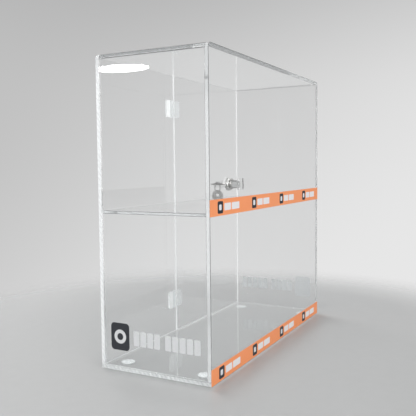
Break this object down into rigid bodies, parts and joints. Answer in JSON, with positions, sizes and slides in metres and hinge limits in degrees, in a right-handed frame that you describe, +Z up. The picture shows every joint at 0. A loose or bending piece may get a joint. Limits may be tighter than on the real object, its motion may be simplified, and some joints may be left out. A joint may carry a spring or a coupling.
{
  "type": "lockable display case",
  "caption": "Clear acrylic display case with a middle shelf, orange bands across the front and a hinged back door with a cam lock and keys.",
  "frame": {"origin": "on the plane the feet stand on, in the middle of the whole object's footprint, counting the key and ring that hang behind the door", "axes": "+X to the right seen from the front, +Y from the banded front to the door at the back, +Z up"},
  "size_m": [0.4, 0.1975, 0.402],
  "materials": {
    "clear_acrylic": "clear, polished faces, sawn edges",
    "hinge_plastic": "clear moulded",
    "band_film": "satin adhesive film",
    "foot_gel": "clear soft gel",
    "lock_nickel": "nickel plated",
    "lock_steel": "zinc plated",
    "wafer_brass": "stamped",
    "key_nickel": "nickel plated, stamped",
    "ring_steel": "bright spring wire"
  },
  "bodies": {
    "case": {"base_plate": "clear_acrylic", "bent_shell": "clear_acrylic", "front_panel": "clear_acrylic", "fixed_back_panel": "clear_acrylic", "shelf": "clear_acrylic", "upper_band": "band_film", "lower_band": "band_film", "door_keeper": "clear_acrylic", "foot_front_left": "foot_gel", "foot_front_right": "foot_gel", "foot_back_left": "foot_gel", "foot_back_right": "foot_gel", "upper_hinge_frame_leaf": "hinge_plastic", "upper_hinge_pin": "hinge_plastic", "lower_hinge_frame_leaf": "hinge_plastic", "lower_hinge_pin": "hinge_plastic"},
    "door": {"door_panel": "clear_acrylic", "lock_body": "lock_nickel", "lock_nut": "lock_nickel", "upper_hinge_door_leaf": "hinge_plastic", "lower_hinge_door_leaf": "hinge_plastic"},
    "plug": {"lock_plug": "lock_nickel", "lock_wafers": "wafer_brass", "wafer_springs": "ring_steel", "lock_cam": "lock_steel", "cam_screw": "lock_steel"},
    "key_in_lock": {"key": "key_nickel"},
    "ring": {"key_ring": "ring_steel"},
    "spare": {"spare_key": "key_nickel"}
  },
  "joints": [
    {"name": "door_hinge", "type": "hinge", "parent": "case", "child": "door", "pos_m": [-0.016, 0.06525, 0.2045], "axis": [0, 0, 1], "range_deg": [0, 150]},
    {"name": "lock_turn", "type": "hinge", "parent": "door", "child": "plug", "pos_m": [0.166, 0.06155, 0.228], "axis": [0, 1, 0], "range_deg": [0, 180]},
    {"name": "key_pull", "type": "slide", "parent": "plug", "child": "key_in_lock", "axis": [0, 1, 0], "range_m": [0, 0.025]},
    {"name": "ring_swing", "type": "hinge", "parent": "key_in_lock", "child": "ring", "pos_m": [0.17311, 0.08775, 0.2305], "axis": [1, 0, 0], "range_deg": [-8, 15]},
    {"name": "spare_swing", "type": "hinge", "parent": "ring", "child": "spare", "pos_m": [0.17311, 0.08775, 0.21065], "axis": [1, 0, 0], "range_deg": [-10, 25]}
  ]
}
